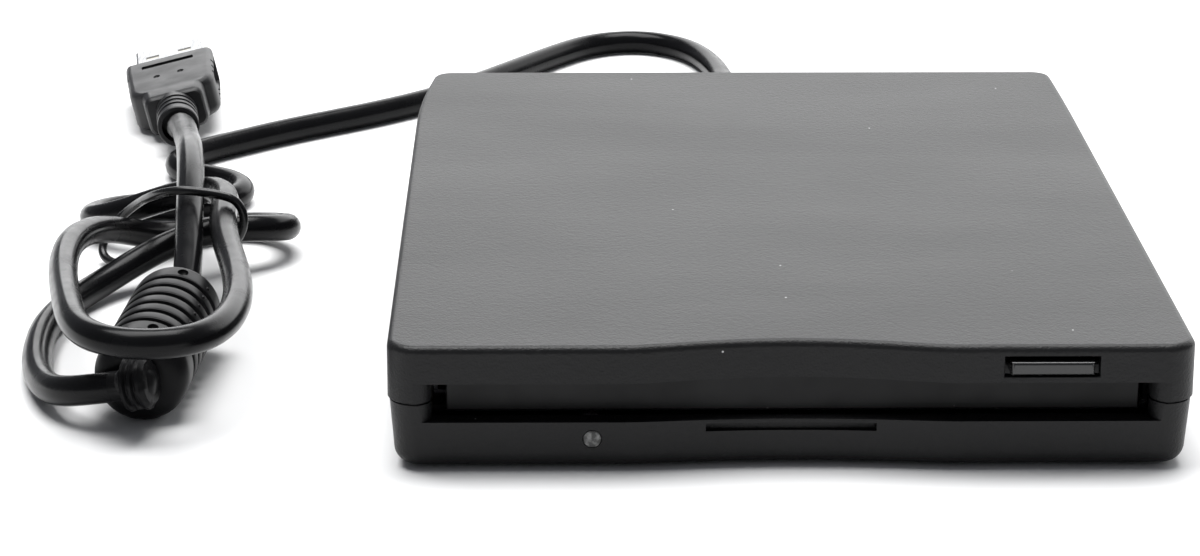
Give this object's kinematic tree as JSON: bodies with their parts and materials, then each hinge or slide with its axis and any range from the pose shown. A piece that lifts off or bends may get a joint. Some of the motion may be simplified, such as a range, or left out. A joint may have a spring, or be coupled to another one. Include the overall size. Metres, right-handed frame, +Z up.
{
  "type": "external floppy disk drive",
  "caption": "Slim black external drive for floppy disks, with a wide front slot and flap, an eject button, a lamp, and a captive USB lead looped beside it.",
  "frame": {"origin": "middle of the housing footprint, on the surface that its feet stand on", "axes": "+Z up, -Y out of the disk slot at the front, +X to the right as seen from the front"},
  "size_m": [0.1567, 0.2256, 0.017],
  "materials": {
    "case": "fine spark-eroded grain, satin",
    "door": "smooth satin",
    "button": "fine grain, satin",
    "foot_rubber": "matt",
    "screw_steel": "blackened",
    "lamp_window": "clear, frosted inside",
    "spring_steel": "bright wire",
    "sheet_steel": "zinc plated",
    "brass": "plain",
    "dark_plastic": "plain moulded",
    "motor_steel": "plain",
    "rod_steel": "ground",
    "board": "solder mask over copper tracks",
    "chip": "moulded package",
    "white_plastic": "plain moulded",
    "cord": "smooth glossy jacket",
    "filter_sleeve": "satin moulded",
    "ferrite": "sintered",
    "tie": "coated wire",
    "plug": "satin moulded",
    "plug_metal": "nickel plated"
  },
  "bodies": {
    "housing": {"upper_shell": "case", "lower_shell": "case", "rubber_feet": "foot_rubber", "case_screws": "screw_steel", "light_pipe": "lamp_window", "activity_lamp": "lamp_window", "door_spring": "spring_steel", "drive_frame": "sheet_steel", "frame_screws": "screw_steel", "top_shield": "sheet_steel", "latch_spring": "spring_steel", "spindle_stator": "motor_steel", "spindle_bearing": "brass", "stepper_motor": "motor_steel", "screw_bearing": "dark_plastic", "guide_rod": "rod_steel", "main_board": "board", "interface_board": "board", "board_chips": "chip", "data_socket": "white_plastic", "flat_cable": "white_plastic", "disk_switches": "dark_plastic", "cable_gland": "cord", "cord_lead": "cord", "cord_hank": "cord", "cord_tail": "cord", "filter_sleeve": "filter_sleeve", "filter_core": "ferrite", "wire_tie": "tie", "plug_moulding": "plug", "plug_shell": "plug_metal", "plug_tongue": "white_plastic", "plug_contacts": "brass"},
    "ejector": {"eject_button": "button", "slide_plate": "sheet_steel", "eject_springs": "spring_steel"},
    "cage": {"disk_cage": "sheet_steel", "cage_pins": "brass"},
    "door": {"slot_door": "door"},
    "lever": {"latch_lever": "dark_plastic"},
    "rotor": {"spindle_rotor": "motor_steel", "drive_pin": "brass"},
    "screw": {"lead_screw": "brass"},
    "carriage": {"head_carriage": "dark_plastic", "lower_head": "rod_steel"},
    "arm": {"head_arm": "dark_plastic", "upper_head": "rod_steel"}
  },
  "joints": [
    {"name": "eject_slide", "type": "slide", "parent": "housing", "child": "ejector", "axis": [0, -1, 0], "range_m": [0, 0.0035]},
    {"name": "cage_lift", "type": "slide", "parent": "housing", "child": "cage", "axis": [0, 0, -1], "range_m": [0, 0.0015]},
    {"name": "latch_turn", "type": "hinge", "parent": "housing", "child": "lever", "pos_m": [-0.03, 0.036, 0.0085], "axis": [0, 0, 1], "range_deg": [0, 30]},
    {"name": "door_open", "type": "hinge", "parent": "housing", "child": "door", "pos_m": [0, -0.0664, 0.0131], "axis": [1, 0, 0], "range_deg": [0, 80], "stiffness_Nm_per_rad": 0.0005, "springref_deg": -20.05},
    {"name": "spindle_spin", "type": "hinge", "parent": "housing", "child": "rotor", "pos_m": [0, -0.018, 0.005], "axis": [0, 0, 1], "continuous": true},
    {"name": "head_travel", "type": "slide", "parent": "housing", "child": "carriage", "axis": [0, -1, 0], "range_m": [0, 0.0148]},
    {"name": "screw_spin", "type": "hinge", "parent": "housing", "child": "screw", "pos_m": [0.014, 0.045, 0.0092], "axis": [0, 1, 0], "range_deg": [0, 1780]},
    {"name": "arm_lower", "type": "hinge", "parent": "carriage", "child": "arm", "pos_m": [0, 0.044, 0.0122], "axis": [1, 0, 0], "range_deg": [0, 8]}
  ],
  "couplings": [
    {"joint": "cage_lift", "follows": "eject_slide", "ratio": 0.42857},
    {"joint": "latch_turn", "follows": "eject_slide", "rad_per_m": 149.5},
    {"joint": "arm_lower", "follows": "eject_slide", "rad_per_m": 39.8},
    {"joint": "screw_spin", "follows": "head_travel", "rad_per_m": 2094.4}
  ]
}
